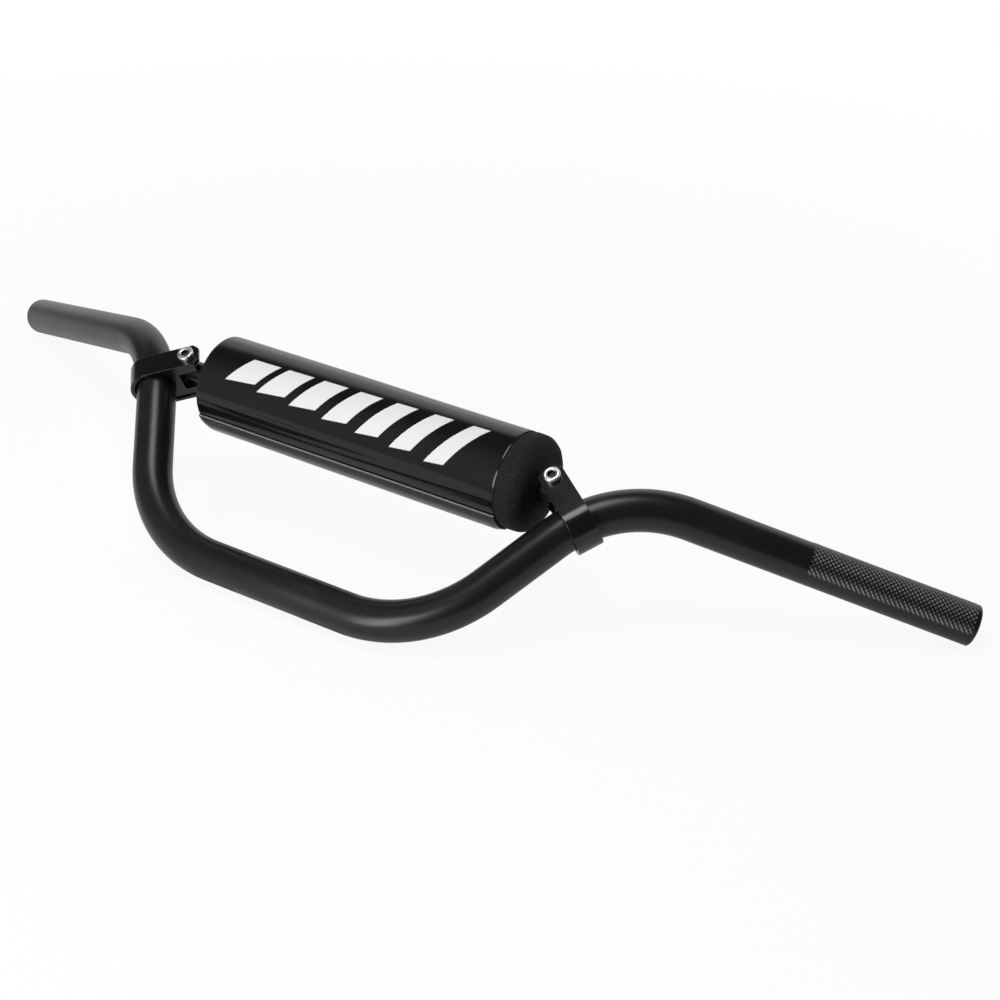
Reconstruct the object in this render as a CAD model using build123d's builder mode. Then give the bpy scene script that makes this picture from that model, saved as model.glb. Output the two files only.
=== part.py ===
from build123d import *
import os
from math import asin, atan2, cos, degrees, hypot, radians, sin, sqrt, tan

os.makedirs("parts", exist_ok=True)

# A motocross handlebar with a padded crossbar, lying as it was laid down on a flat bench.
# X runs along the bar's width, +Y points back from the clamping section to the grips, +Z up.
# The origin is the middle of the clamping section, on the bar's centreline.

# The bar is one bent tube: a clamping section, two rises, and two grips that sweep back.
bar_diameter = 22.2
bar_wall = 2.5
bar_end_chamfer = 0.6
lower_corner_x = 88.7
rise_run = 62.8
rise_height = 109.9
grip_run = 171.2
grip_pullback = 93.0
grip_upsweep = 25.4
lower_bend_radius = 76.0
upper_bend_radius = 74.6

# A flat strap is folded round each rise just past the start of its upper bend.
strap_past_bend = 15.0
strap_width = 14.0
strap_thickness = 2.4
strap_clearance = 0.6
strap_lean = 3.5
strap_past_bolt = 7.0
strap_corner_cut = 3.0
bolt_from_bar = 24.0

# A forked block fills the strap between the bar and the crossbar's end.
block_width = 12.0
block_side_clearance = 0.1
block_web = 4.6
block_past_bolt = 3.5

# The crossbar is a small tube whose ends lie in the forks of the two blocks.
crossbar_diameter = 12.0
crossbar_wall = 1.5
crossbar_fork_clearance = 0.3
crossbar_past_bolt = 5.0

# One bolt goes through each strap, block and crossbar end, into a nut over a washer.
bolt_diameter = 5.0
bolt_hole_clearance = 0.2
bolt_head_diameter = 9.4
bolt_head_height = 3.2
bolt_head_chamfer = 0.9
bolt_socket_across_flats = 4.0
bolt_socket_depth = 2.2
bolt_end_past_nut = 1.0
washer_diameter = 10.0
washer_thickness = 1.0
nut_across_flats = 8.0
nut_height = 4.0
nut_edge_chamfer = 0.5

# The foam pad is slit along its underside, so that it can be pressed over the crossbar.
pad_outer_radius = 26.4
foam_bore_clearance = 0.3
foam_left_gap = 21.1
foam_right_gap = 8.7
foam_left_rounding = 3.0
foam_right_rounding = 7.0
foam_slit_width = 0.8
foam_slit_angle = 264.0

# The cover is a sheet wrapped once round the foam and lapped over itself underneath.
cover_thickness = 0.8
cover_foam_clearance = 0.3
foam_bare_at_left = 1.5
foam_bare_at_right = 14.5
cover_end_gap_angle = 10.0
cover_lap_start_angle = 302.0
cover_lap_ramp = 8.0
cover_lap_end_angle = 255.0
closure_thickness = 0.5
closure_clearance = 0.1
closure_end_margin = 5.0
closure_side_margin = 4.0

bar_radius = bar_diameter / 2
grip_length = sqrt(grip_run**2 + grip_pullback**2 + grip_upsweep**2)


def bench_lean():
    """The rise plane's angle above the bench, with both grip ends and the middle touching it."""
    level = atan2(grip_pullback, rise_height + grip_upsweep)
    reach = hypot(grip_pullback, rise_height + grip_upsweep)
    drop = (grip_pullback * cos(level) - grip_upsweep * sin(level)) / grip_length
    slope = asin(drop)
    lower = bar_radius * (1 - cos(slope)) + bar_end_chamfer * sin(slope)
    return level - asin(lower / reach)


lean = bench_lean()
across = Vector(1, 0, 0)
back = Vector(0, sin(lean), -cos(lean))
up = Vector(0, cos(lean), sin(lean))
front = -back


def bar_point(x, pullback, rise):
    """A point from its distance across, behind the rise plane, and up the rises."""
    return across * x + back * pullback + up * rise


upper_corner_x = lower_corner_x + rise_run
corners = [
    bar_point(upper_corner_x + grip_run, grip_pullback, rise_height + grip_upsweep),
    bar_point(upper_corner_x, 0, rise_height),
    bar_point(lower_corner_x, 0, 0),
]
route = [Vector(-p.X, p.Y, p.Z) for p in corners] + corners[::-1]
bend_radii = [upper_bend_radius, lower_bend_radius, lower_bend_radius, upper_bend_radius]


# The handlebar tube, bent from one length of tube and open at both ends.
with BuildPart() as handlebar_tube:
    with BuildLine() as bar_route:
        FilletPolyline(*route, radius=bend_radii)
    with BuildSketch(Plane(bar_route.line @ 0, z_dir=bar_route.line % 0)):
        Circle(bar_radius)
        Circle(bar_radius - bar_wall, mode=Mode.SUBTRACT)
    sweep(path=bar_route.line)
    ends = handlebar_tube.faces().sort_by(Axis.X)
    rims = [ends[0].edges().sort_by(Edge.length)[-1], ends[-1].edges().sort_by(Edge.length)[-1]]
    chamfer(rims, length=bar_end_chamfer)
handlebar_tube.part.label = "handlebar_tube"


# Each strap sits square on the bar, turned until the crossbar lies flat between its legs.
upper_turn = (corners[1] - corners[2]).get_angle(corners[0] - corners[1])
upper_tangent = upper_bend_radius * tan(radians(upper_turn / 2))
grip_straight = grip_length - upper_tangent
upper_arc = upper_bend_radius * radians(upper_turn)
bar_wire = bar_route.wire()
strap_distance = bar_wire.length - grip_straight - upper_arc + strap_past_bend
strap_seat = bar_wire.position_at(strap_distance, position_mode=PositionMode.LENGTH)
bar_direction = bar_wire.tangent_at(strap_distance, position_mode=PositionMode.LENGTH)
through = across.cross(bar_direction).normalized()
inward = bar_direction.cross(through).normalized()
if inward.X > 0:
    inward = -inward
strap_axis = bar_direction * cos(radians(strap_lean)) + inward * sin(radians(strap_lean))
leg_direction = inward * cos(radians(strap_lean)) - bar_direction * sin(radians(strap_lean))
bolt_axis = through if through.dot(front) > 0 else -through
# The straight strap on the bent bar is set out by the bend's bulge over half its width.
bend_bulge = (strap_width / 2) ** 2 / (2 * upper_bend_radius)
strap_centre = strap_seat - leg_direction * bend_bulge
bolt_centre = strap_centre + leg_direction * bolt_from_bar

strap_inner_radius = bar_radius + strap_clearance
strap_outer_radius = strap_inner_radius + strap_thickness
block_thickness = 2 * (strap_inner_radius - block_side_clearance)
bolt_hole_radius = bolt_diameter / 2 + bolt_hole_clearance
crossbar_radius = crossbar_diameter / 2
fork_width = crossbar_diameter + 2 * crossbar_fork_clearance


def mirrored(vector, side):
    """The same place or direction on the side given, 1 for right and -1 for left."""
    return Vector(side * vector.X, vector.Y, vector.Z)


def strap_plane(side):
    """Across the bar at the strap: local x along the legs, local z along the bar."""
    centre = mirrored(strap_centre, side)
    return Plane(centre, x_dir=mirrored(leg_direction, side), z_dir=mirrored(strap_axis, side))


def bolt_plane(side, height=0.0):
    """Across the bolt's axis, at a height towards its head from the middle of the legs."""
    centre = mirrored(bolt_centre, side) + bolt_axis * height
    return Plane(centre, x_dir=mirrored(leg_direction, side), z_dir=bolt_axis)


crossbar_centre = Vector(0, bolt_centre.Y, bolt_centre.Z)
crossbar_half_length = bolt_centre.X + crossbar_past_bolt

# The crossbar tube, cross-drilled near each end for the bolts.
with BuildPart() as crossbar_tube:
    with BuildSketch(Plane(crossbar_centre, z_dir=(1, 0, 0))):
        Circle(crossbar_radius)
        Circle(crossbar_radius - crossbar_wall, mode=Mode.SUBTRACT)
    extrude(amount=crossbar_half_length, both=True)
    for side in (-1, 1):
        with BuildSketch(bolt_plane(side)):
            Circle(bolt_hole_radius)
        extrude(amount=crossbar_diameter, both=True, mode=Mode.SUBTRACT)
crossbar_tube.part.label = "crossbar_tube"


def make_clamp(side, name):
    """One clamp: its strap, forked block, bolt, washer and nut."""
    # The strap is a flat bar folded to a U, with its leg ends cut at the corners.
    leg_end = bolt_from_bar + strap_past_bolt
    with BuildPart() as strap:
        with BuildSketch(strap_plane(side)):
            Circle(strap_outer_radius)
            Rectangle(leg_end, 2 * strap_outer_radius, align=(Align.MIN, Align.CENTER))
            Circle(strap_inner_radius, mode=Mode.SUBTRACT)
            Rectangle(
                leg_end, 2 * strap_inner_radius, align=(Align.MIN, Align.CENTER), mode=Mode.SUBTRACT
            )
        extrude(amount=strap_width / 2, both=True)
        leg_axis = Axis(mirrored(strap_centre, side), mirrored(leg_direction, side))
        end_faces = strap.faces().sort_by(leg_axis)[-2:]
        corner_edges = [e for f in end_faces for e in f.edges() if e.length < strap_width / 2]
        chamfer(corner_edges, length=strap_corner_cut)
        with BuildSketch(bolt_plane(side)):
            Circle(bolt_hole_radius)
        extrude(amount=2 * strap_outer_radius, both=True, mode=Mode.SUBTRACT)
    strap.part.label = "clamp_strap_" + name
    export_step(strap.part, "parts/clamp_strap_" + name + ".step")

    # The block has a hollow seat on the bar at one end and a fork for the crossbar at the other.
    web_end = strap_inner_radius + block_web
    with BuildPart() as block:
        with BuildSketch(strap_plane(side)):
            block_end = bolt_from_bar + block_past_bolt
            Rectangle(block_end, block_thickness, align=(Align.MIN, Align.CENTER))
            Circle(strap_inner_radius, mode=Mode.SUBTRACT)
            with Locations((web_end, 0)):
                Rectangle(
                    block_end, fork_width, align=(Align.MIN, Align.CENTER), mode=Mode.SUBTRACT
                )
        extrude(amount=block_width / 2, both=True)
        with BuildSketch(bolt_plane(side)):
            Circle(bolt_hole_radius)
        extrude(amount=block_thickness, both=True, mode=Mode.SUBTRACT)
    block.part.label = "clamp_block_" + name
    export_step(block.part, "parts/clamp_block_" + name + ".step")

    # The bolt has a low round head with a hexagon socket.
    under_nut = -strap_outer_radius - washer_thickness
    bolt_end = under_nut - nut_height - bolt_end_past_nut
    with BuildPart() as bolt:
        with BuildSketch(bolt_plane(side, strap_outer_radius)):
            Circle(bolt_head_diameter / 2)
        extrude(amount=bolt_head_height)
        top_edge = bolt.edges().sort_by(Axis((0, 0, 0), bolt_axis))[-1]
        chamfer(top_edge, length=bolt_head_chamfer)
        with BuildSketch(bolt_plane(side, bolt_end)):
            Circle(bolt_diameter / 2)
        extrude(amount=strap_outer_radius - bolt_end)
        with BuildSketch(bolt_plane(side, strap_outer_radius + bolt_head_height)):
            RegularPolygon(bolt_socket_across_flats / 2, side_count=6, major_radius=False)
        extrude(amount=-bolt_socket_depth, mode=Mode.SUBTRACT)
    bolt.part.label = "clamp_bolt_" + name
    export_step(bolt.part, "parts/clamp_bolt_" + name + ".step")

    # A plain washer lies between the strap's back leg and the nut.
    with BuildPart() as washer:
        with BuildSketch(bolt_plane(side, -strap_outer_radius)):
            Circle(washer_diameter / 2)
            Circle(bolt_hole_radius, mode=Mode.SUBTRACT)
        extrude(amount=-washer_thickness)
    washer.part.label = "clamp_washer_" + name
    export_step(washer.part, "parts/clamp_washer_" + name + ".step")

    # The nut is bored to the bolt's size, with its corners turned off at the outer face.
    nut_bore_radius = bolt_diameter / 2 + bolt_hole_clearance / 4
    with BuildPart() as nut:
        with BuildSketch(bolt_plane(side, under_nut)):
            RegularPolygon(nut_across_flats / 2, side_count=6, major_radius=False)
            Circle(nut_bore_radius, mode=Mode.SUBTRACT)
        extrude(amount=-nut_height)
        with BuildSketch(bolt_plane(side, under_nut)):
            Circle(nut_across_flats / 2 + nut_edge_chamfer)
        extrude(amount=-nut_height, taper=degrees(atan2(nut_edge_chamfer, nut_height)),
                mode=Mode.INTERSECT)
    nut.part.label = "clamp_nut_" + name
    export_step(nut.part, "parts/clamp_nut_" + name + ".step")


for side, name in ((-1, "left"), (1, "right")):
    make_clamp(side, name)


# The pad's section is drawn round the crossbar, with 0 degrees to the back and 90 up the rises.
cover_outer_radius = pad_outer_radius
cover_inner_radius = cover_outer_radius - cover_thickness
foam_covered_radius = cover_inner_radius - cover_foam_clearance
foam_bore_radius = crossbar_radius + foam_bore_clearance
# The foam ends at its two gaps from the bolts, and the cover leaves its ends bare.
foam_left_end = foam_left_gap - bolt_centre.X
foam_right_end = bolt_centre.X - foam_right_gap
cover_left_end = foam_left_end + foam_bare_at_left
cover_right_end = foam_right_end - foam_bare_at_right


def pad_section(x):
    """The plane across the crossbar at a distance from its middle."""
    return Plane(crossbar_centre + across * x, x_dir=back, z_dir=across)


# The foam is squeezed a little where the cover wraps it, and swells out past its right end.
with BuildPart() as pad_foam:
    with BuildSketch(Plane(crossbar_centre, x_dir=across, z_dir=front)) as foam_half:
        with BuildLine():
            Polyline(
                (foam_left_end, foam_bore_radius),
                (foam_left_end, foam_covered_radius),
                (cover_right_end + cover_foam_clearance, foam_covered_radius),
                (cover_right_end + cover_foam_clearance, pad_outer_radius),
                (foam_right_end, pad_outer_radius),
                (foam_right_end, foam_bore_radius),
                close=True,
            )
        make_face()
        left_corner = foam_half.vertices().group_by(Axis.X)[0].sort_by(Axis.Z)[-1]
        fillet(left_corner, radius=foam_left_rounding)
        right_corner = foam_half.vertices().group_by(Axis.X)[-1].sort_by(Axis.Z)[-1]
        fillet(right_corner, radius=foam_right_rounding)
    revolve(axis=Axis(crossbar_centre, across))
    with BuildSketch(pad_section(foam_left_end)):
        with Locations(Rotation(0, 0, foam_slit_angle)):
            Rectangle(pad_outer_radius * 2, foam_slit_width, align=(Align.MIN, Align.CENTER))
    extrude(amount=foam_right_end - foam_left_end, mode=Mode.SUBTRACT)
pad_foam.part.label = "pad_foam"

# The cover: one sheet, nearly once round the foam, up a small ramp, and lapped over its own edge.
lap_rise = cover_thickness + 2 * closure_thickness + 3 * closure_clearance
lap_inner_radius = cover_inner_radius + lap_rise
lap_outer_radius = cover_outer_radius + lap_rise
lap_radius = (lap_inner_radius + lap_outer_radius) / 2
lap_ramp_end = cover_lap_start_angle - cover_lap_ramp
free_edge_angle = cover_lap_start_angle - cover_end_gap_angle
lap_sweep = cover_lap_end_angle - lap_ramp_end
length_of_cover = cover_right_end - cover_left_end


def polar(radius, angle):
    """A point of the pad's section from its distance and direction from the crossbar."""
    return (radius * cos(radians(angle)), radius * sin(radians(angle)))


with BuildPart() as pad_cover:
    with BuildSketch(pad_section(cover_left_end)):
        Circle(cover_outer_radius)
        Circle(cover_inner_radius, mode=Mode.SUBTRACT)
        gap_reach = 2 * cover_outer_radius
        Polygon(
            (0, 0), polar(gap_reach, free_edge_angle), polar(gap_reach, cover_lap_start_angle),
            align=None, mode=Mode.SUBTRACT,
        )
        Polygon(
            polar(cover_inner_radius, cover_lap_start_angle),
            polar(cover_outer_radius, cover_lap_start_angle),
            polar(lap_outer_radius, lap_ramp_end),
            polar(lap_inner_radius, lap_ramp_end),
            align=None,
        )
        with BuildLine():
            lap_back = CenterArc((0, 0), lap_outer_radius, lap_ramp_end, lap_sweep)
            lap_face = CenterArc((0, 0), lap_inner_radius, lap_ramp_end, lap_sweep)
            Line(lap_back @ 0, lap_face @ 0)
            Line(lap_back @ 1, lap_face @ 1)
        make_face()
    extrude(amount=length_of_cover)
pad_cover.part.label = "pad_cover"

# Two fastening strips close the lap: the loop strip on the sheet, the hook strip on the lap.
closure_length = length_of_cover - 2 * closure_end_margin
strip_margin = degrees(closure_side_margin / lap_radius)
strip_start = cover_lap_end_angle + strip_margin
strip_span = lap_ramp_end - strip_margin - strip_start
loop_radius = cover_outer_radius + closure_clearance + closure_thickness / 2
hook_radius = loop_radius + closure_thickness + closure_clearance
for name, radius in (("closure_loop_strip", loop_radius), ("closure_hook_strip", hook_radius)):
    with BuildPart() as closure_strip:
        with BuildSketch(pad_section(cover_left_end + closure_end_margin)):
            with BuildLine():
                CenterArc((0, 0), radius, strip_start, strip_span)
            trace(line_width=closure_thickness)
        extrude(amount=closure_length)
    closure_strip.part.label = name
    export_step(closure_strip.part, "parts/" + name + ".step")

for piece in (handlebar_tube, crossbar_tube, pad_foam, pad_cover):
    export_step(piece.part, "parts/" + piece.part.label + ".step")
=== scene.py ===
from math import atan2, cos, degrees, pi, radians, sin, tan

import bmesh
import bpy
import numpy as np
from mathutils import Matrix, Vector, noise


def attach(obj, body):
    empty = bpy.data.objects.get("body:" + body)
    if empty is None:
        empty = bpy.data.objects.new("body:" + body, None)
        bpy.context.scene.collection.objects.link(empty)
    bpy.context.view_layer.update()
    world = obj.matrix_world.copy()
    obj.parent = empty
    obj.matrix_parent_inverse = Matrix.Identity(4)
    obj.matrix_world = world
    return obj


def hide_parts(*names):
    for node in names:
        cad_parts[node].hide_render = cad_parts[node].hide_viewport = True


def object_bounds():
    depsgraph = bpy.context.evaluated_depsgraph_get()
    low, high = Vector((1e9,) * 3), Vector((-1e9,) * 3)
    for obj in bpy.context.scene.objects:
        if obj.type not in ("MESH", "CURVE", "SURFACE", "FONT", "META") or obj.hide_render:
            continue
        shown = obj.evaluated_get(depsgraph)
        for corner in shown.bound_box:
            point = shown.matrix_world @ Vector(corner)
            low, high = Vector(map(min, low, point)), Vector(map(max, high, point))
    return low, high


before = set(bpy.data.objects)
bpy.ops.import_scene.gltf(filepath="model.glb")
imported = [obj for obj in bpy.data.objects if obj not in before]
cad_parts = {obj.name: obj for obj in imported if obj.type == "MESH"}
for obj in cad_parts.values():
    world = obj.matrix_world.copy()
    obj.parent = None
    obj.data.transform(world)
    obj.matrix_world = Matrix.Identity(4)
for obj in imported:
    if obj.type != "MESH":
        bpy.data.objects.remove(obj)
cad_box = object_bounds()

# ---- The handlebar tube
# One length of steel tube, bent four times: a straight middle for the fork's clamps, two rises, and
# two grips that sweep back. It is powder coated satin black, serrated where the clamps bite, and
# knurled along the right grip, where a sleeve has to hold.

bar_radius = 0.0111
bar_wall = 0.0025
bar_rim = 0.0006
bore_radius = bar_radius - bar_wall
lean = radians(34.2372)
across = Vector((1, 0, 0))
back = Vector((0, sin(lean), -cos(lean)))
up = Vector((0, cos(lean), sin(lean)))
front = -back
lower_corner = across * 0.0887
upper_corner = lower_corner + across * 0.0628 + up * 0.1099
grip_end = upper_corner + across * 0.1712 + back * 0.0930 + up * 0.0254
lower_bend_radius = 0.0760
upper_bend_radius = 0.0746
bar_sides = 180
knurl_pitch = 0.0027
knurl_length = 34 * knurl_pitch
knurl_smooth_end = 0.0012
knurl_depth = 0.00050
knurl_wrap = (radians(2), radians(222))
knurl_teeth = 26
knurl_rings = 240
knurl_floor = 0.45
knurl_fade_turn = 0.10
knurl_fade_outer = 0.0012
knurl_fade_inner = 0.0016
serration_from = 0.021
serration_to = 0.049
serration_start = 0.0008
serration_depth = 0.00012


def choose(obj, *others):
    """Selects one object, and others where they are given, and makes the first the active one."""
    bpy.ops.object.select_all(action="DESELECT")
    for one in (*others, obj):
        one.select_set(True)
    bpy.context.view_layer.objects.active = obj


def edit(obj):
    """Deselects all else and opens one object in edit mode."""
    choose(obj)
    bpy.ops.object.mode_set(mode="EDIT")


def close():
    """Back to object mode."""
    bpy.ops.object.mode_set(mode="OBJECT")


def pick(obj, kind, test):
    """In edit mode, selects only the vertices, edges or faces that pass a test of their place."""
    bpy.ops.mesh.select_mode(type=kind)
    bpy.ops.mesh.select_all(action="DESELECT")
    mesh = bmesh.from_edit_mesh(obj.data)
    for part in {"VERT": mesh.verts, "EDGE": mesh.edges, "FACE": mesh.faces}[kind]:
        if test(part):
            part.select_set(True)
    mesh.select_flush_mode()
    bmesh.update_edit_mesh(obj.data)


def middle(part):
    """The middle of an edge or a face."""
    return sum((v.co for v in part.verts), Vector()) / len(part.verts)


def pull(step, size=1.0, about=(0, 0, 0)):
    """Extrudes what is selected by a step, and scales it about a point."""
    bpy.ops.mesh.extrude_region_move(TRANSFORM_OT_translate={"value": step})
    if size != 1.0:
        bpy.ops.transform.resize(value=(size, size, size), center_override=about)


def apply(obj, kind, **values):
    """Adds one modifier and applies it."""
    choose(obj)
    modifier = obj.modifiers.new(kind.lower(), kind)
    for name, value in values.items():
        setattr(modifier, name, value)
    bpy.ops.object.modifier_apply(modifier=modifier.name)


def outwards(obj, merge=1e-6):
    """Merges doubles and turns every face outwards."""
    edit(obj)
    bpy.ops.mesh.select_all(action="SELECT")
    bpy.ops.mesh.remove_doubles(threshold=merge)
    bpy.ops.mesh.normals_make_consistent(inside=False)
    close()


def smooth(obj, angle):
    """Smooth shading, with edges sharper than an angle kept crisp."""
    choose(obj)
    bpy.ops.object.shade_smooth_by_angle(angle=radians(angle))


def copied(source, name):
    """A copy of an object with a mesh of its own."""
    made = source.copy()
    made.data = source.data.copy()
    made.name = name
    bpy.context.scene.collection.objects.link(made)
    return made


def coated(obj, material):
    """Gives an object one material and no other."""
    obj.data.materials.clear()
    obj.data.materials.append(material)


def bend_tangent(radius, before, after):
    """How far a bend reaches from its corner along each run."""
    return radius * tan(before.angle(after) / 2)


def bar_skin(name, radius, rim, bend_step, knurled):
    """The skin of the whole bar, pulled and spun from its left end to its right one."""
    corners = [Vector((-p.x, p.y, p.z)) for p in (grip_end, upper_corner, lower_corner)]
    corners += [lower_corner, upper_corner, grip_end]
    radii = [None, upper_bend_radius, lower_bend_radius, lower_bend_radius, upper_bend_radius]
    heading = (corners[1] - corners[0]).normalized()
    bpy.ops.mesh.primitive_circle_add(
        vertices=bar_sides, radius=bore_radius, location=corners[0],
        rotation=heading.to_track_quat("Z", "Y").to_euler(),
    )
    skin = bpy.context.object
    skin.name = name
    bpy.ops.object.transform_apply(location=True, rotation=True, scale=True)
    edit(skin)
    bpy.ops.mesh.select_all(action="SELECT")
    place = corners[0]
    if rim:
        pull((0, 0, 0), (radius - rim) / bore_radius, place)
        place = place + heading * rim
        pull(heading * rim, radius / (radius - rim), place)
    for n in range(1, 6):
        heading = (corners[n] - corners[n - 1]).normalized()
        if n < 5:
            turn = (corners[n + 1] - corners[n]).normalized()
            reach = bend_tangent(radii[n], heading, turn)
            straight = (corners[n] - place).length - reach
            if n == 3:
                stops = (-serration_from - serration_start, -serration_from,
                         serration_from, serration_from + serration_start, straight / 2)
                for last, stop in zip((-straight / 2, *stops), stops):
                    pull(heading * (stop - last))
            else:
                for _ in range(3):
                    pull(heading * straight / 3)
            side = (turn - heading * heading.dot(turn)).normalized()
            start = corners[n] - heading * reach
            sweep = heading.angle(turn)
            bpy.ops.mesh.spin(
                steps=round(degrees(sweep) / bend_step), angle=-sweep,
                center=start + side * radii[n], axis=heading.cross(side),
            )
            place = corners[n] + turn * reach
        else:
            straight = (corners[n] - place).length - rim
            if knurled:
                plain = straight - knurl_length - knurl_smooth_end
                pull(heading * plain / 2)
                pull(heading * plain / 2)
                for _ in range(knurl_rings):
                    pull(heading * knurl_length / knurl_rings)
                pull(heading * knurl_smooth_end)
            else:
                pull(heading * straight)
            if rim:
                pull(heading * rim, (radius - rim) / radius, corners[n])
                pull((0, 0, 0), bore_radius / (radius - rim), corners[n])
    close()
    return skin


bar = bar_skin("bar", bar_radius, bar_rim, 2.5, True)
bore = bar_skin("bore", bore_radius, 0, 7.5, False)

# The knurl and the serrations are set before the bore is joined, while only the outer skin is there.
grip_axis = (grip_end - upper_corner).normalized()
grip_top = (Vector((0, 0, 1)) - grip_axis * grip_axis.z).normalized()
grip_side = grip_top.cross(grip_axis)
straight_half = lower_corner.x - bend_tangent(
    lower_bend_radius, across, upper_corner - lower_corner
)
points = np.empty(len(bar.data.vertices) * 3)
bar.data.vertices.foreach_get("co", points)
points = points.reshape(-1, 3)
from_end = (points - np.array(grip_end)) @ -np.array(grip_axis)
beside = points - np.array(grip_end) + np.outer(from_end, np.array(grip_axis))
round_grip = np.arctan2(beside @ np.array(grip_top), beside @ -np.array(grip_side))
along = from_end - knurl_smooth_end - bar_rim
in_knurl = (points[:, 0] > upper_corner.x) & (along > -1e-5) & (along < knurl_length + 1e-5)
wrapped = np.mod(round_grip - knurl_wrap[0], 2 * pi)
knurl_turn = knurl_wrap[1] - knurl_wrap[0]
fade = (np.clip(wrapped / knurl_fade_turn, 0, 1)
        * np.clip((knurl_turn - wrapped) / knurl_fade_turn, 0, 1))
fade *= (np.clip(along / knurl_fade_outer, 0, 1)
         * np.clip((knurl_length - along) / knurl_fade_inner, 0, 1))

# The two rollers bit unevenly: slanted strokes low down, then a shallow weave, then full beads.
turned_by = np.degrees(wrapped)
bite = np.interp(turned_by, (14, 30, 52, 90), (1.0, 0.6, 1.15, 0.7))
missed = np.interp(turned_by, (14, 34, 56, 80), (0.5, 0.0, 0.0, 0.4))
one = np.abs(np.sin(pi * along / knurl_pitch + round_grip * knurl_teeth / 2)) + missed
two = np.abs(np.sin(pi * along / knurl_pitch - round_grip * knurl_teeth / 2))
ridges = np.where(in_knurl, np.minimum(one, two) * fade, 0.0)
knurl = np.where(in_knurl, (ridges - knurl_floor * fade) * bite, 0.0)

outward = beside / np.maximum(np.linalg.norm(beside, axis=1, keepdims=True), 1e-9)
moved = points + outward * (knurl * knurl_depth)[:, None]

# Every other line of points in the two patches sinks to a groove, in the bends as well.
hub = np.outer(np.sign(points[:, 0]), np.array(across)) * straight_half
hub = hub + np.array(up) * lower_bend_radius
spoke = points - hub
flat_spoke = spoke - np.outer(spoke @ np.array(front), np.array(front))
bent = np.abs(points[:, 0]) > straight_half
flat_length = np.linalg.norm(flat_spoke, axis=1)
in_plane = np.where(bent, flat_length - lower_bend_radius, -(points @ np.array(up)))
out_plane = points @ np.array(front)
plane_way = np.where(bent[:, None], flat_spoke / flat_length[:, None], -np.array(up))
round_bar = np.arctan2(out_plane, in_plane)
odd = np.mod(np.round(round_bar / (2 * pi / bar_sides)), 2) > 0.5
reach_x = np.abs(points[:, 0])
serrated_from = serration_from + serration_start / 2
in_patch = (reach_x > serrated_from) & (reach_x < serration_to)
serrated = np.where(in_patch & odd, -1.0, 0.0)
bar_way = plane_way * np.cos(round_bar)[:, None] + np.outer(np.sin(round_bar), np.array(front))
moved = moved + bar_way * (serrated * serration_depth)[:, None]
bar.data.vertices.foreach_set("co", moved.ravel())
relief = bar.data.attributes.new("relief", "FLOAT", "POINT")
relief.data.foreach_set("value", (ridges * np.sqrt(bite)).astype(np.float32))

choose(bar, bore)
bpy.ops.object.join()
outwards(bar, 1e-5)
smooth(bar, 38)


def effect(name, sockets_in, sockets_out):
    """A shader node group with named inputs and outputs, used by more than one finish."""
    group = bpy.data.node_groups.new(name, "ShaderNodeTree")
    for label, start in sockets_in:
        socket = group.interface.new_socket(label, in_out="INPUT", socket_type="NodeSocketFloat")
        socket.default_value = start
    for label in sockets_out:
        group.interface.new_socket(label, in_out="OUTPUT", socket_type="NodeSocketFloat")
    return group, group.nodes.new("NodeGroupInput"), group.nodes.new("NodeGroupOutput")


def node(tree, kind, links=(), **values):
    """A node with its settings, and its inputs set to a value or linked to another node's output."""
    made = tree.nodes.new("ShaderNode" + kind)
    for name, value in values.items():
        setattr(made, name, value)
    for label, source in dict(links).items():
        if isinstance(source, bpy.types.NodeSocket):
            tree.links.new(source, made.inputs[label])
        else:
            made.inputs[label].default_value = source
    return made


def maths(tree, operation, *values, clamp=False):
    """One step of arithmetic, as a node's output."""
    made = tree.nodes.new("ShaderNodeMath")
    made.operation = operation
    made.use_clamp = clamp
    for n, value in enumerate(values):
        if isinstance(value, bpy.types.NodeSocket):
            tree.links.new(value, made.inputs[n])
        else:
            made.inputs[n].default_value = value
    return made.outputs[0]


# Fine grain: a coated or moulded surface's small lumps, as a height and as a tone.
grain, grain_in, grain_out = effect(
    "fine_grain", [("Scale", 1000.0), ("Clump", 60.0)], ["Height", "Tone"]
)
place_of = node(grain, "TexCoord")
lumps = node(grain, "TexNoise", {
    "Vector": place_of.outputs["Object"], "Scale": grain_in.outputs["Scale"],
    "Detail": 4.0, "Roughness": 0.6,
})
clumps = node(grain, "TexNoise", {
    "Vector": place_of.outputs["Object"], "Scale": grain_in.outputs["Clump"],
    "Detail": 3.0, "Roughness": 0.5,
})
grain.links.new(lumps.outputs["Fac"], grain_out.inputs["Height"])
grain.links.new(clumps.outputs["Fac"], grain_out.inputs["Tone"])

# Handling marks: sparse dull streaks and specks where a finish has been touched.
marks, marks_in, marks_out = effect("handling_marks", [("Scale", 40.0), ("Amount", 0.3)], ["Mask"])
mark_place = node(marks, "TexCoord")
mark_noise = node(marks, "TexNoise", {
    "Vector": mark_place.outputs["Object"], "Scale": marks_in.outputs["Scale"],
    "Detail": 8.0, "Roughness": 0.7, "Distortion": 0.6,
})
mark_edge = node(marks, "MapRange", {
    "Value": mark_noise.outputs["Fac"], "From Min": 0.58, "From Max": 0.72,
})
marks.links.new(
    maths(marks, "MULTIPLY", mark_edge.outputs["Result"], marks_in.outputs["Amount"]),
    marks_out.inputs["Mask"],
)


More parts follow.
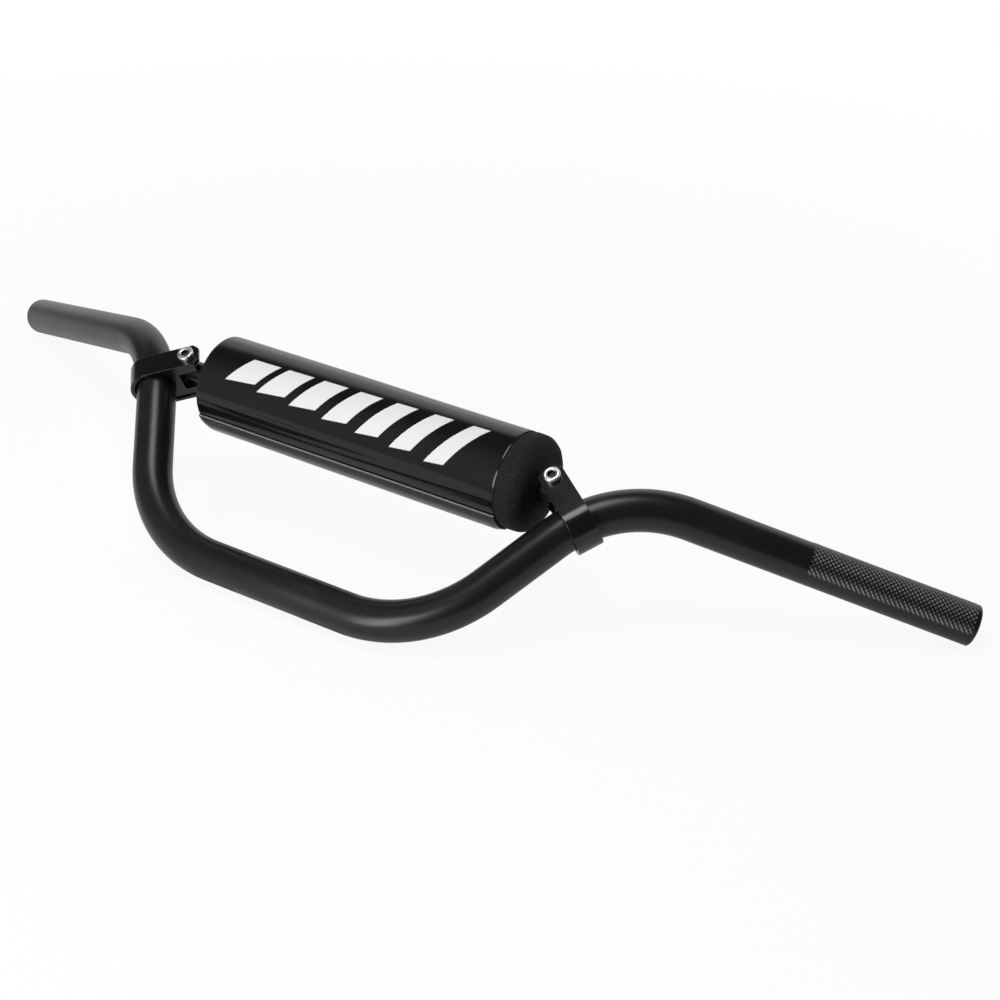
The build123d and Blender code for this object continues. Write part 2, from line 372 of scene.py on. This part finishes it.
def finish_of(name, colour, roughness, **shader):
    """A new material with one Principled shader and its plain values."""
    made = bpy.data.materials.new(name)
    made.use_nodes = True
    made.diffuse_color = (*colour, 1)
    principled = made.node_tree.nodes["Principled BSDF"]
    principled.inputs["Base Color"].default_value = (*colour, 1)
    principled.inputs["Roughness"].default_value = roughness
    for label, value in shader.items():
        principled.inputs[label.replace("_", " ")].default_value = value
    return made, made.node_tree, principled


def placed(tree, group, **values):
    """An effect placed in a material with its own values."""
    made = tree.nodes.new("ShaderNodeGroup")
    made.node_tree = group
    for label, value in values.items():
        made.inputs[label].default_value = value
    return made


def blended(tree, factor, low, high):
    """A mix of two colours, each a plain colour or another node's output."""
    made = tree.nodes.new("ShaderNodeMix")
    made.data_type = "RGBA"
    tree.links.new(factor, made.inputs["Factor"])
    for label, value in (("A", low), ("B", high)):
        socket = next(s for s in made.inputs if s.name == label and s.type == "RGBA")
        if isinstance(value, bpy.types.NodeSocket):
            tree.links.new(value, socket)
        else:
            socket.default_value = (*value, 1)
    return next(s for s in made.outputs if s.type == "RGBA")


def between(tree, factor, low, high):
    """A number that goes from low to high as a mask goes from 0 to 1."""
    return node(tree, "MapRange", {"Value": factor, "To Min": low, "To Max": high}).outputs[0]


def bumped(tree, principled, height, distance, strength):
    """Feeds a height to the shader's normal."""
    bump = node(tree, "Bump", {"Height": height, "Distance": distance, "Strength": strength})
    tree.links.new(bump.outputs["Normal"], principled.inputs["Normal"])


powder_coat, tree, shader = finish_of("bar_powder_coat", (0.008, 0.008, 0.009), 0.30)
shader.inputs["Specular IOR Level"].default_value = 0.34
coat = placed(tree, grain, Scale=1400.0, Clump=35.0)
worn = placed(tree, marks, Scale=55.0, Amount=0.35)
knurl_height = node(tree, "Attribute", attribute_name="relief").outputs["Fac"]
tone = blended(tree, coat.outputs["Tone"], (0.006, 0.006, 0.007), (0.011, 0.011, 0.012))
# The tops of the knurl's beads are painted pale grey: painted glints, small highlights on the black
# coat.
painted_glint = maths(tree, "POWER", knurl_height, 4.0, clamp=True)
tone = blended(tree, painted_glint, tone, (0.330, 0.330, 0.335))
tone = blended(tree, worn.outputs["Mask"], tone, (0.022, 0.022, 0.023))
tree.links.new(tone, shader.inputs["Base Color"])
dull = between(tree, coat.outputs["Tone"], 0.27, 0.34)
dull = maths(tree, "ADD", dull, maths(tree, "MULTIPLY", worn.outputs["Mask"], 0.15))
dull = maths(tree, "SUBTRACT", dull, maths(tree, "MULTIPLY", knurl_height, 0.10))
tree.links.new(dull, shader.inputs["Roughness"])
bumped(tree, shader, coat.outputs["Height"], 0.00004, 0.35)
coated(bar, powder_coat)
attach(bar, "root")
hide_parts("handlebar_tube")

# ---- The crossbar
# A small steel tube between the two clamps, coated like the bar. Its ends lie in the clamp blocks'
# forks and are cross-drilled for the bolts; the rest is hidden in the pad.

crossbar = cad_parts["crossbar_tube"]
coated(crossbar, powder_coat)

# ---- The clamp straps
# A flat steel strip folded to a U round each rise, its leg ends cut at the corners and drilled for
# the bolt, with all its edges broken before it was coated satin black.

strap_inner = 0.0117
strap_thick = 0.0024
strap_wide = 0.0140
strap_past_bend = 0.0150
strap_lean = radians(3.5)
leg_length = 0.0310
leg_corner = 0.0030
bolt_out = 0.0240
bolt_hole = 0.0027

# The strap sits square on the upper bend, leaning a little towards the middle of the bar.
rise_way = (upper_corner - lower_corner).normalized()
bend_start = upper_corner - rise_way * bend_tangent(upper_bend_radius, rise_way, grip_axis)
bend_side = (grip_axis - rise_way * rise_way.dot(grip_axis)).normalized()
bent_by = strap_past_bend / upper_bend_radius
bar_runs = rise_way * cos(bent_by) + bend_side * sin(bent_by)
strap_seat = bend_start + upper_bend_radius * (
    rise_way * sin(bent_by) + bend_side * (1 - cos(bent_by))
)
bolt_way = across.cross(bar_runs).normalized()
inward = bolt_way.cross(bar_runs)
leg_way = inward * cos(strap_lean) - bar_runs * sin(strap_lean)
strap_way = leg_way.cross(bolt_way)
strap_centre = strap_seat - leg_way * (strap_wide / 2) ** 2 / (2 * upper_bend_radius)


def seat(centre, x_way, z_way, side):
    """The matrix that sets a piece modelled at the origin in its place, on the side given."""
    x = Vector((x_way.x * side, x_way.y, x_way.z)).normalized()
    z = Vector((z_way.x * side, z_way.y, z_way.z)).normalized()
    y = z.cross(x)
    at = Matrix((x, y, z)).transposed().to_4x4()
    at.translation = Vector((centre.x * side, centre.y, centre.z))
    return at


satin, tree, shader = finish_of("clamp_coating", (0.006, 0.006, 0.007), 0.15)
shader.inputs["Specular IOR Level"].default_value = 0.42
coat = placed(tree, grain, Scale=1800.0, Clump=90.0)
worn = placed(tree, marks, Scale=110.0, Amount=0.4)
tone = blended(tree, coat.outputs["Tone"], (0.004, 0.004, 0.005), (0.008, 0.008, 0.009))
tree.links.new(blended(tree, worn.outputs["Mask"], tone, (0.018, 0.018, 0.019)),
               shader.inputs["Base Color"])
dull = between(tree, coat.outputs["Tone"], 0.16, 0.22)
tree.links.new(maths(tree, "ADD", dull, maths(tree, "MULTIPLY", worn.outputs["Mask"], 0.15)),
               shader.inputs["Roughness"])
bumped(tree, shader, coat.outputs["Height"], 0.00003, 0.35)

strap_mid = strap_inner + strap_thick / 2
bpy.ops.mesh.primitive_plane_add(
    size=1, location=(leg_length, strap_mid, 0), rotation=(0, pi / 2, 0),
)
strap = bpy.context.object
strap.scale = (strap_wide, strap_thick, 1)
bpy.ops.object.transform_apply(location=True, rotation=True, scale=True)
edit(strap)
bpy.ops.mesh.select_all(action="SELECT")
bpy.ops.mesh.delete(type="ONLY_FACE")
bpy.ops.mesh.select_all(action="SELECT")
pull((-leg_length, 0, 0))
bpy.ops.mesh.spin(steps=40, angle=-pi, center=(0, 0, 0), axis=(0, 0, 1))
pull((leg_length, 0, 0))
for way in (-1, 1):
    pick(strap, "EDGE", lambda e: e.is_boundary and middle(e).y * way > 0)
    bpy.ops.mesh.edge_face_add()
close()
outwards(strap)
edit(strap)
pick(strap, "EDGE", lambda e: abs(middle(e).x - leg_length) < 1e-6
     and abs(abs(middle(e).z) - strap_wide / 2) < 1e-6)
bpy.ops.mesh.bevel(offset=leg_corner, segments=1, affect="EDGES")
close()
bpy.ops.mesh.primitive_cylinder_add(
    vertices=48, radius=bolt_hole, depth=4 * strap_mid, location=(bolt_out, 0, 0),
    rotation=(pi / 2, 0, 0),
)
drill = bpy.context.object
apply(strap, "BOOLEAN", operation="DIFFERENCE", object=drill, solver="EXACT")
bpy.data.objects.remove(drill)
apply(strap, "BEVEL", width=0.00035, segments=3, limit_method="ANGLE", angle_limit=radians(35))
smooth(strap, 35)
apply(strap, "WEIGHTED_NORMAL", keep_sharp=True, weight=100)
for side, name in ((-1, "left"), (1, "right")):
    made = copied(strap, "strap_" + name)
    made.data.transform(seat(strap_centre, leg_way, strap_way, side))
    made.data.materials.append(satin)
    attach(made, "root")
    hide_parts("clamp_strap_" + name)
bpy.data.objects.remove(strap)

# ---- The clamp blocks
# A forked aluminium block fills each strap from the bar's wall to the crossbar. It is cut from bar
# stock, its edges broken, and coated with the strap.

for name in ("left", "right"):
    block = copied(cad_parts["clamp_block_" + name], "block_" + name)
    for key in list(block.keys()):
        del block[key]
    block.parent = None
    outwards(block)
    edit(block)
    bpy.ops.mesh.select_all(action="SELECT")
    bpy.ops.mesh.dissolve_limited(angle_limit=radians(1))
    close()
    apply(block, "BEVEL", width=0.0003, segments=2, limit_method="ANGLE", angle_limit=radians(40))
    smooth(block, 35)
    apply(block, "WEIGHTED_NORMAL", keep_sharp=True, weight=100)
    coated(block, satin)
    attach(block, "root")
    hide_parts("clamp_block_" + name)

# ---- The clamp bolts
# A low round-headed stainless screw through each clamp, with a hexagon socket and a turned rim. Its
# shank runs through both legs, the block and the crossbar to the nut behind.

head_seat = strap_inner + strap_thick
bolt_sides = 48
shank = 0.0025
head = 0.0047
head_tall = 0.0032
socket_half = 0.0020
socket_deep = 0.0022
socket_mouth = 0.0004
bolt_tip = -(head_seat + 0.0060)


def turned(name, profile, sides):
    """A round piece pulled up ring by ring from its first ring, as (height, radius) pairs."""
    bpy.ops.mesh.primitive_circle_add(
        vertices=sides, radius=profile[0][1], fill_type="NGON", location=(0, 0, profile[0][0])
    )
    piece = bpy.context.object
    piece.name = name
    bpy.ops.object.transform_apply(location=True, rotation=True, scale=True)
    edit(piece)
    bpy.ops.mesh.select_all(action="SELECT")
    bpy.ops.mesh.delete(type="ONLY_FACE")
    bpy.ops.mesh.select_all(action="SELECT")
    for (low, was), (high, now) in zip(profile, profile[1:]):
        pull((0, 0, high - low), now / was, (0, 0, high))
    return piece


top = head_seat + head_tall
rounding = 0.0011
arc = [(top - rounding + rounding * sin(a), head - rounding + rounding * cos(a))
       for a in (radians(d) for d in (0, 18, 36, 54, 72, 90))]
bolt = turned("bolt", [
    (bolt_tip, shank * 0.8), (bolt_tip + 0.0005, shank), (head_seat, shank),
    (head_seat, head - 0.0002), (head_seat + 0.0002, head), *arc,
    (top, 0.00290), (top - 0.00015, 0.00262), (top - 0.00045, 0.00236),
    (top - socket_deep, 0.00235), (top - socket_deep - 0.0006, 0.0002),
], bolt_sides)
close()
for v in bolt.data.vertices:
    if top - socket_deep - 1e-6 < v.co.z < top - socket_mouth and v.co.xy.length < 0.0024:
        turn = atan2(v.co.y, v.co.x)
        flat = (turn + pi / 6) % (pi / 3) - pi / 6
        reach = socket_half / cos(flat)
        v.co.x, v.co.y = reach * cos(turn), reach * sin(turn)
edit(bolt)
for way in (-1, 1):
    pick(bolt, "EDGE", lambda e: e.is_boundary and middle(e).z * way > 0)
    bpy.ops.mesh.edge_face_add()
close()
outwards(bolt, 1e-8)
smooth(bolt, 30)
recess = bolt.data.attributes.new("recess", "FLOAT", "POINT")
for v, value in zip(bolt.data.vertices, recess.data):
    value.value = 1.0 if head_seat < v.co.z < top - socket_mouth and v.co.xy.length < 0.0025 else 0.0
bright, tree, shader = finish_of("bright_fasteners", (0.72, 0.71, 0.70), 0.30, Metallic=1.0)
coat = placed(tree, grain, Scale=900.0, Clump=300.0)
tone = blended(tree, coat.outputs["Tone"], (0.66, 0.65, 0.64), (0.82, 0.81, 0.80))
# Inside the socket the colour is painted dark warm brown as painted shade, and the surface is made
# rougher.
painted_socket_shade = node(tree, "Attribute", attribute_name="recess").outputs["Fac"]
tree.links.new(blended(tree, painted_socket_shade, tone, (0.070, 0.048, 0.034)), shader.inputs["Base Color"])
dull = between(tree, coat.outputs["Height"], 0.26, 0.40)
dull = maths(tree, "ADD", dull, maths(tree, "MULTIPLY", painted_socket_shade, 0.3))
tree.links.new(dull, shader.inputs["Roughness"])
bumped(tree, shader, coat.outputs["Height"], 0.00002, 0.3)
bolt_centre = strap_centre + leg_way * bolt_out
for side, name in ((-1, "left"), (1, "right")):
    made = copied(bolt, "bolt_" + name)
    made.data.transform(seat(bolt_centre, leg_way, bolt_way, side))
    made.data.materials.append(bright)
    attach(made, "root")
    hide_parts("clamp_bolt_" + name)
    for kind in ("washer", "nut"):
        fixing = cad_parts["clamp_" + kind + "_" + name]
        coated(fixing, bright)
bpy.data.objects.remove(bolt)

# ---- The foam
# A slit cylinder of closed-cell foam pressed over the crossbar. The cover squeezes it a little, and
# its bare right end swells out past the cover and rounds over.

crossbar_at = Vector((0, bolt_centre.y, bolt_centre.z))
foam_left = 0.0211 - bolt_centre.x
foam_right = bolt_centre.x - 0.0087
foam_bore = 0.0063
foam_squeezed = 0.0252
foam_full = 0.0264
cover_left = foam_left + 0.0015
cover_right = foam_right - 0.0145
foam_sides = 160
foam_ring = 0.0012
foam_left_round = 0.003
foam_swell = 0.002
foam_right_round = 0.0085
foam_right_reach = 0.0068
foam_right_from = 0.0075
foam_dome = 0.0007
foam_dome_wide = 0.0116
slit_at = radians(264)
slit_wide = 0.0002


def steps(start, end, size):
    """Even stations from a start to an end, about a size apart."""
    count = max(1, round(abs(end - start) / size))
    return [start + (end - start) * n / count for n in range(1, count + 1)]


foam_profile = [(foam_left, foam_bore)]
foam_profile += [
    (foam_left, r) for r in steps(foam_bore, foam_squeezed - foam_left_round, foam_ring)
]
foam_profile += [
    (foam_left + foam_left_round - foam_left_round * cos(a),
     foam_squeezed - foam_left_round + foam_left_round * sin(a))
    for a in (radians(d) for d in (15, 30, 45, 60, 75, 90))
]
foam_profile += [
    (x, foam_squeezed) for x in steps(foam_left + foam_left_round, cover_right - foam_swell, 0.012)
]
foam_profile += [
    (cover_right - foam_swell + 2 * foam_swell * t,
     foam_squeezed + (foam_full - foam_squeezed) * t * t * (3 - 2 * t))
    for t in (0.25, 0.5, 0.75, 1.0)
]
foam_profile += [
    (x, foam_full) for x in steps(cover_right + foam_swell, foam_right - foam_right_from, 0.0011)
]
foam_profile += [
    (foam_right - foam_right_from + foam_right_reach * sin(a),
     foam_full - foam_right_round + foam_right_round * cos(a))
    for a in (radians(d) for d in range(8, 89, 8))
]
foam_profile += [
    (foam_right - foam_dome + foam_dome * (1 - ((r - foam_bore) / foam_dome_wide) ** 2), r)
    for r in steps(foam_full - foam_right_round, foam_bore, foam_ring)
]
foam_profile += [(foam_left, foam_bore)]
foam = turned("foam", foam_profile, foam_sides)
close()
along_bar = Matrix((across, front, up)).transposed().to_4x4()
foam.data.transform(along_bar @ Matrix.Rotation(pi / 2, 4, "Y"))
foam.data.transform(Matrix.Translation(crossbar_at))
outwards(foam, 1e-5)
slit_way = back * cos(slit_at) + up * sin(slit_at)
slit_side = across.cross(slit_way)
bpy.ops.mesh.primitive_cube_add(size=1, location=(0, 0, 0))
slit = bpy.context.object
for v in slit.data.vertices:
    out = 0.030 if v.co.y > 0 else 0.002
    v.co = (crossbar_at + across * v.co.x * 0.25 + slit_way * out
            + slit_side * (slit_wide / 2 if v.co.z > 0 else -slit_wide / 2))
outwards(slit)
apply(foam, "BOOLEAN", operation="DIFFERENCE", object=slit, solver="EXACT")
bpy.data.objects.remove(slit)
outwards(foam)
for v in foam.data.vertices:
    spot = v.co - crossbar_at
    radial = Vector((0, spot.y, spot.z))
    if radial.length > foam_bore + 0.001:
        lump = noise.noise(spot * 180) * 0.00025 + noise.noise(spot * 620) * 0.00013
        v.co += (radial.normalized() + across * (1 if spot.x > 0 else -1)).normalized() * lump
smooth(foam, 50)
foam_stuff, tree, shader = finish_of("foam", (0.014, 0.014, 0.013), 0.95)
shader.inputs["Specular IOR Level"].default_value = 0.25
coat = placed(tree, grain, Scale=1900.0, Clump=1300.0)
speck = node(tree, "MapRange", {
    "Value": coat.outputs["Tone"], "From Min": 0.36, "From Max": 0.68,
})
tone = blended(tree, speck.outputs["Result"], (0.007, 0.007, 0.007), (0.025, 0.024, 0.020))
tree.links.new(tone, shader.inputs["Base Color"])
bumped(tree, shader, coat.outputs["Height"], 0.0003, 0.7)
foam.data.materials.append(foam_stuff)
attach(foam, "root")
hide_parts("pad_foam")

# ---- The cover
# One sheet of black gloss vinyl wrapped round the foam and lapped over itself underneath, where
# fastening tape holds it. It pulls into long shallow creases near the lap, and is printed in white.

cover_outer = 0.0264
cover_thick = 0.0008
lap_rise = 0.0021
lap_tuck = 0.0010
free_edge = 652.0
lap_start = 302.0
lap_end = 255.0
lap_ramp = 9.0
tuck_angle = 13.0
tuck_length = 0.0048
crease_at = 233.0
crease_reach = 24.0
crease_height = 0.00034
wave_height = 0.00020
end_dip_length = 0.002
end_dip_depth = 0.00012
cover_length = cover_right - cover_left
wrap_angle = free_edge - lap_end


def eased(share):
    """A share from 0 to 1 that starts and stops softly."""
    share = min(1.0, max(0.0, share))
    return share * share * (3 - 2 * share)


bpy.ops.mesh.primitive_grid_add(x_subdivisions=170, y_subdivisions=230, size=1, calc_uvs=True)
cover = bpy.context.object
cover.name = "cover"
for v in cover.data.vertices:
    x = cover_left + (v.co.x + 0.5) * cover_length
    angle = free_edge - (v.co.y + 0.5) * wrap_angle
    place = angle % 360
    from_end = min(x - cover_left, cover_right - x)
    raised = eased((lap_start - angle) / lap_ramp)
    tucked = max(
        eased((lap_end + tuck_angle - angle) / tuck_angle), eased(1 - from_end / tuck_length),
    )
    wave = noise.noise(Vector((x * 14, place * 0.035, 1.3))) * wave_height
    creased = eased(1 - abs(place - crease_at) / crease_reach)
    crease = noise.noise(Vector((x * 11, place * 0.13, 7.1))) * crease_height * creased
    end_dip = max(0.0, 1 - from_end / end_dip_length) ** 2 * end_dip_depth
    radius = cover_outer + raised * (lap_rise - lap_tuck * tucked) + wave + crease - end_dip
    way = back * cos(radians(angle)) + up * sin(radians(angle))
    v.co = crossbar_at + across * x + way * radius
edit(cover)
bpy.ops.mesh.select_all(action="SELECT")
bpy.ops.mesh.normals_make_consistent(inside=False)
close()
facing = cover.data.polygons[len(cover.data.polygons) // 2]
if facing.normal.dot(facing.center - crossbar_at - across * facing.center.x) < 0:
    cover.data.flip_normals()
apply(cover, "SOLIDIFY", thickness=cover_thick, offset=-1)
apply(cover, "BEVEL", width=0.0002, segments=2, limit_method="ANGLE", angle_limit=radians(60))
smooth(cover, 40)

vinyl, tree, shader = finish_of("cover_vinyl", (0.006, 0.006, 0.007), 0.13)
shader.inputs["Specular IOR Level"].default_value = 0.32
coat = placed(tree, grain, Scale=1100.0, Clump=28.0)
worn = placed(tree, marks, Scale=70.0, Amount=0.5)
flat_map = node(tree, "SeparateXYZ", {"Vector": node(tree, "UVMap").outputs["UV"]})
print_x = maths(tree, "MULTIPLY_ADD", flat_map.outputs["X"], cover_length * 1000, cover_left * 1000)
print_angle = maths(tree, "MULTIPLY_ADD", flat_map.outputs["Y"], -wrap_angle, free_edge - 360)

# The print is a row of slanted bars with cut feet, which get longer and narrower to the right.
print_from = -77.0
print_bars = 7
bar_period = 23.2
bar_slant = 0.30
slant_about = 185
fill_left = 0.84
fill_right = 0.44
row_top_left = 161.0
row_top_right = 153.0
row_foot_left = 193.0
row_foot_right = 214.0
foot_cut = 9.0
foot_from = 5.0
lap_highlight_wide = 1.2
end_rim_from = 0.4975
share = maths(tree, "MULTIPLY_ADD", print_x, 1 / (print_bars * bar_period),
              -print_from / (print_bars * bar_period))
leaning = maths(tree, "MULTIPLY_ADD", print_angle, bar_slant, -bar_slant * slant_about)
bar_count = maths(tree, "DIVIDE", maths(tree, "ADD", print_x, leaning), bar_period)
bar_count = maths(tree, "ADD", bar_count, -print_from / bar_period)
across_bar = maths(tree, "FRACT", bar_count)
bar_fill = maths(tree, "MULTIPLY_ADD", share, fill_right - fill_left, fill_left)
foot = maths(tree, "MULTIPLY_ADD", across_bar, -foot_cut, foot_from)
upper_edge = maths(tree, "MULTIPLY_ADD", share, row_top_right - row_top_left, row_top_left)
lower_edge = maths(tree, "MULTIPLY_ADD", share, row_foot_right - row_foot_left, row_foot_left)
lower_edge = maths(tree, "ADD", lower_edge, foot)
in_row = maths(tree, "MULTIPLY",
               maths(tree, "SUBTRACT", print_angle, upper_edge, clamp=True),
               maths(tree, "SUBTRACT", lower_edge, print_angle, clamp=True))
in_count = maths(tree, "MULTIPLY", maths(tree, "GREATER_THAN", bar_count, 0.0),
                 maths(tree, "LESS_THAN", bar_count, float(print_bars)))
in_bar = maths(tree, "MULTIPLY", maths(tree, "SUBTRACT", bar_fill, across_bar), 50.0, clamp=True)
printed = maths(tree, "MULTIPLY", maths(tree, "MULTIPLY", in_row, in_count), in_bar)
# A narrow band along the lap's cut edge is painted light grey: a painted highlight on the edge.
lap_edge_highlight = maths(tree, "MULTIPLY_ADD", print_angle, -1.0, lap_end - 360 + lap_highlight_wide, clamp=True)
ground = blended(tree, coat.outputs["Tone"], (0.005, 0.005, 0.006), (0.009, 0.009, 0.010))
tone = blended(tree, printed, ground, (0.80, 0.80, 0.82))
tone = blended(tree, lap_edge_highlight, tone, (0.30, 0.30, 0.31))
tree.links.new(tone, shader.inputs["Base Color"])
dull = between(tree, coat.outputs["Tone"], 0.10, 0.17)
dull = maths(tree, "ADD", dull, maths(tree, "MULTIPLY", worn.outputs["Mask"], 0.12))
dull = maths(tree, "ADD", dull, maths(tree, "MULTIPLY", printed, 0.20))
from_middle = maths(tree, "ABSOLUTE", maths(tree, "SUBTRACT", flat_map.outputs["X"], 0.5))
end_rim = maths(tree, "GREATER_THAN", from_middle, end_rim_from)
dull = maths(tree, "ADD", dull, maths(tree, "MULTIPLY", end_rim, 0.45))
tree.links.new(dull, shader.inputs["Roughness"])
relief_of = maths(tree, "ADD", maths(tree, "MULTIPLY", coat.outputs["Height"], 0.3), printed)
bumped(tree, shader, relief_of, 0.00005, 0.5)
cover.data.materials.append(vinyl)
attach(cover, "root")
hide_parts("pad_cover")

# ---- The closure strips
# Hook and loop tape sewn to the sheet and under its lap. Only its fuzzy edge could ever be seen.

tape, tree, shader = finish_of("closure_tape", (0.012, 0.012, 0.012), 0.9)
coat = placed(tree, grain, Scale=2600.0, Clump=900.0)
tree.links.new(blended(tree, coat.outputs["Tone"], (0.006, 0.006, 0.006), (0.030, 0.030, 0.030)),
               shader.inputs["Base Color"])
bumped(tree, shader, coat.outputs["Height"], 0.0003, 0.8)
for name in ("closure_loop_strip", "closure_hook_strip"):
    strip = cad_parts[name]
    coated(strip, tape)

# ---- The bench and the light
# A white bench whose front edge is near the bar, a soft box straight above, a pale wall's glow low
# down behind, and a dim room in front. The bench keeps a faint soft shadow.

bench_at = cad_box[0].z - 0.0001
bench_size = 8.0
bench_front = -0.30
shadow_kept = 0.09
shadow_fade = (0.40, 0.90)
mirrored_share = 0.35
bpy.ops.mesh.primitive_plane_add(
    size=bench_size, location=(0, bench_front + bench_size / 2, bench_at),
)
bench = bpy.context.object
bench.name = "bench"
bpy.ops.object.transform_apply(location=True, rotation=False, scale=True)
white, tree, shader = finish_of("bench_white", (0.92, 0.92, 0.92), 0.8)
shader.inputs["Specular IOR Level"].default_value = 0.2
seen = node(tree, "LightPath")
glow = node(tree, "Emission", {"Color": (1, 1, 1, 1), "Strength": 1.0})
away = node(tree, "VectorMath", {0: node(tree, "TexCoord").outputs["Object"]}, operation="LENGTH")
white_share = node(tree, "MapRange", {
    "Value": away.outputs["Value"], "From Min": shadow_fade[0], "From Max": shadow_fade[1],
    "To Min": 1 - shadow_kept, "To Max": 1.0,
}).outputs[0]
mirrored = maths(tree, "MULTIPLY", seen.outputs["Is Glossy Ray"], mirrored_share)
rays = maths(tree, "MAXIMUM", seen.outputs["Is Camera Ray"], mirrored)
rays = maths(tree, "MAXIMUM", rays, seen.outputs["Is Transmission Ray"])
shown = node(tree, "MixShader")
tree.links.new(maths(tree, "MULTIPLY", rays, white_share), shown.inputs[0])
tree.links.new(shader.outputs["BSDF"], shown.inputs[1])
tree.links.new(glow.outputs["Emission"], shown.inputs[2])
tree.links.new(shown.outputs["Shader"], tree.nodes["Material Output"].inputs["Surface"])
bench.data.materials.append(white)


def soft_box(name, at, aim, wide, tall, watts):
    """A rectangular soft box that faces a point."""
    lamp = bpy.data.lights.new(name, "AREA")
    lamp.shape = "RECTANGLE"
    lamp.size = wide
    lamp.size_y = tall
    lamp.energy = watts
    box = bpy.data.objects.new(name, lamp)
    box.location = at
    box.rotation_euler = (Vector(aim) - Vector(at)).to_track_quat("-Z", "Y").to_euler()
    bpy.context.scene.collection.objects.link(box)


soft_box("top_box", (-0.08, -0.08, 1.5), (-0.08, -0.08, 0), 0.52, 0.86, 11.0)
soft_box("front_box", (-0.20, -1.25, 0.50), (0, 0.05, 0.05), 0.40, 0.90, 12.5)

room_dim = 0.04
back_glow = 1.00
left_glow = 0.45
world = bpy.data.worlds.new("room")
bpy.context.scene.world = world
world.use_nodes = True
sky = world.node_tree
ray_way = node(sky, "SeparateXYZ", {"Vector": node(sky, "TexCoord").outputs["Generated"]})


def wall_mask(axis, dark_at, bright_at):
    """Rises from 0 to 1 as the ray's direction along one axis goes from dark to bright."""
    return node(sky, "MapRange", {
        "Value": ray_way.outputs[axis], "From Min": dark_at, "From Max": bright_at,
    }).outputs[0]


back_wall = maths(sky, "MULTIPLY", wall_mask("Z", 0.70, 0.56), wall_mask("Y", 0.10, 0.50))
left_wall = maths(sky, "MULTIPLY", wall_mask("X", -0.20, -0.45), wall_mask("Y", 0.00, -0.60))
wall = maths(sky, "MULTIPLY_ADD", back_wall, back_glow, room_dim)
wall = maths(sky, "MULTIPLY_ADD", left_wall, left_glow, wall)
looked = node(sky, "LightPath")
room_light = sky.nodes["Background"]
room_light.inputs["Color"].default_value = (1, 1, 1, 1)
seen_white = maths(
    sky, "MAXIMUM", looked.outputs["Is Camera Ray"], looked.outputs["Is Transmission Ray"]
)
sky.links.new(maths(sky, "MAXIMUM", wall, seen_white), room_light.inputs["Strength"])
bpy.context.scene.view_settings.view_transform = "Standard"

# ---- The camera
# It stands above the right grip's side and looks down along the bar.

lens = bpy.data.cameras.new("camera")
lens.lens = 69.67
lens.sensor_width = 36.0
lens.shift_x = -0.00225
lens.shift_y = -0.00193
lens.clip_end = 50
camera = bpy.data.objects.new("camera", lens)
bpy.context.scene.collection.objects.link(camera)
right_way = Vector((0.84651, 0.53237, 0.00242))
down_way = Vector((0.28845, -0.45482, -0.84258))
look_way = Vector((-0.44746, 0.71395, -0.53857))
pose = Matrix((right_way, -down_way, -look_way)).transposed().to_4x4()
pose.translation = Vector((0.54355, -0.64437, 0.58917))
camera.matrix_world = pose
bpy.context.scene.camera = camera
